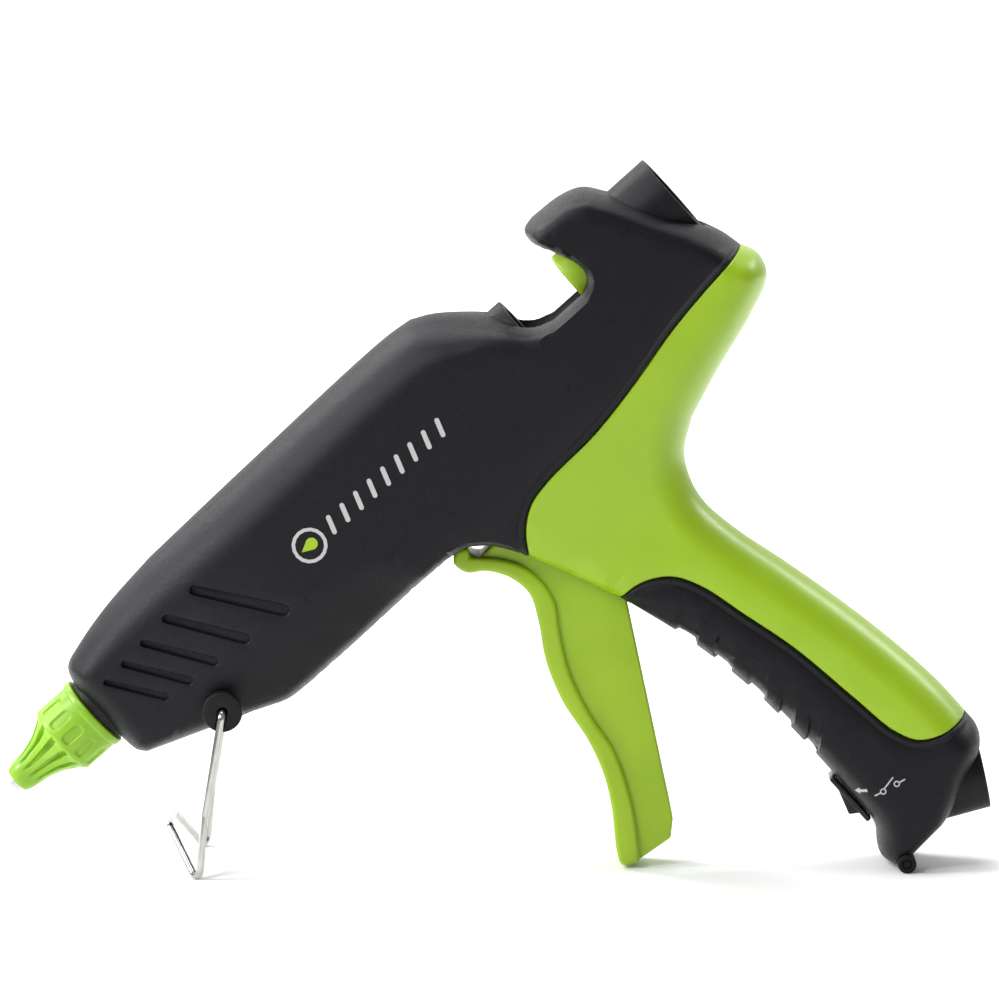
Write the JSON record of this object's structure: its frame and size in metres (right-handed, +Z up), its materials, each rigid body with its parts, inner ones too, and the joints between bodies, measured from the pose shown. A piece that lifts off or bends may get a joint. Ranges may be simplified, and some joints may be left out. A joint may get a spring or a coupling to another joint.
{
  "type": "hot glue gun",
  "caption": "Full-size trigger-fed hot glue gun with a two-tone housing, a silicone nozzle boot, a folding wire stand and a cord socket.",
  "frame": {"origin": "on the ground plane, under the middle of the gun's box, as it stands on its wire stand and rear foot", "axes": "+Z up, +X from the nozzle towards the rear of the gun, +Y towards the gun's right side"},
  "size_m": [0.3068, 0.0614, 0.2198],
  "materials": {
    "black_housing": "fine-textured satin black",
    "green_housing": "smooth satin lime green",
    "green_moving": "smooth satin lime green",
    "green_silicone": "soft semi-gloss lime silicone",
    "black_silicone": "matt black heat-resistant rubber",
    "black_switch": "polished black",
    "cast_aluminium": "as cast",
    "nozzle_brass": "turned",
    "chromed_wire": "polished",
    "zinc_steel": "zinc plated",
    "ceramic": "white ceramic",
    "rubber": "matt black",
    "lead_sleeve": "braided glass-fibre sleeve"
  },
  "bodies": {
    "root": {"barrel_shell_left": "black_housing", "barrel_shell_right": "black_housing", "grip_shell_left": "green_housing", "grip_shell_right": "green_housing", "handle_shell_left": "black_housing", "handle_shell_right": "black_housing", "shell_screw_1": "zinc_steel", "shell_screw_2": "zinc_steel", "shell_screw_3": "zinc_steel", "shell_screw_4": "zinc_steel", "shell_screw_5": "zinc_steel", "shell_screw_6": "zinc_steel", "shell_screw_7": "zinc_steel", "shell_screw_8": "zinc_steel", "nozzle_tip": "nozzle_brass", "nozzle_boot": "green_silicone", "nozzle_collar": "black_silicone", "melt_chamber": "cast_aluminium", "heater_element": "ceramic", "heater_clip": "zinc_steel", "thermal_fuse": "zinc_steel", "inlet_sleeve": "black_silicone", "sleeve_clamp": "zinc_steel", "rear_stick_guide": "black_housing", "trigger_pin": "zinc_steel", "switch_bezel": "black_switch", "switch_body": "black_switch", "cord_inlet": "black_silicone", "contact_pin_left": "nozzle_brass", "contact_pin_right": "nozzle_brass", "rear_foot": "rubber", "stand_boss_left": "black_silicone", "stand_boss_right": "black_silicone", "heater_lead_live": "lead_sleeve", "heater_lead_neutral": "lead_sleeve", "switch_lead": "lead_sleeve"},
    "trigger": {"trigger": "green_moving", "return_spring": "zinc_steel"},
    "carriage": {"carriage": "green_moving", "drive_link_left": "zinc_steel", "drive_link_right": "zinc_steel", "jaw_pin": "zinc_steel"},
    "jaw": {"grip_jaw": "zinc_steel"},
    "stand": {"stand_wire": "chromed_wire"},
    "rocker": {"switch_rocker": "black_switch"}
  },
  "joints": [
    {"name": "trigger_squeeze", "type": "hinge", "parent": "root", "child": "trigger", "pos_m": [0.01234, 0, 0.10962], "axis": [0, -1, 0], "range_deg": [0, 18], "stiffness_Nm_per_rad": 0.5, "springref_deg": -34.38, "deforming": ["return_spring"]},
    {"name": "carriage_feed", "type": "slide", "parent": "root", "child": "carriage", "axis": [-0.7431, 0, -0.6691], "range_m": [0, 0.0117]},
    {"name": "jaw_grip", "type": "hinge", "parent": "carriage", "child": "jaw", "pos_m": [0.04477, 0, 0.18121], "axis": [0, 1, 0], "range_deg": [0, 8]},
    {"name": "stand_fold", "type": "hinge", "parent": "root", "child": "stand", "pos_m": [-0.08494, 0, 0.05163], "axis": [0, -1, 0], "range_deg": [0, 125]},
    {"name": "switch_rock", "type": "hinge", "parent": "root", "child": "rocker", "pos_m": [0.11109, 0, 0.02266], "axis": [0, -1, 0], "range_deg": [0, 18]}
  ],
  "couplings": [
    {"joint": "carriage_feed", "follows": "trigger_squeeze", "m_per_rad": 0.036849},
    {"joint": "jaw_grip", "follows": "trigger_squeeze", "ratio": 0.4}
  ]
}
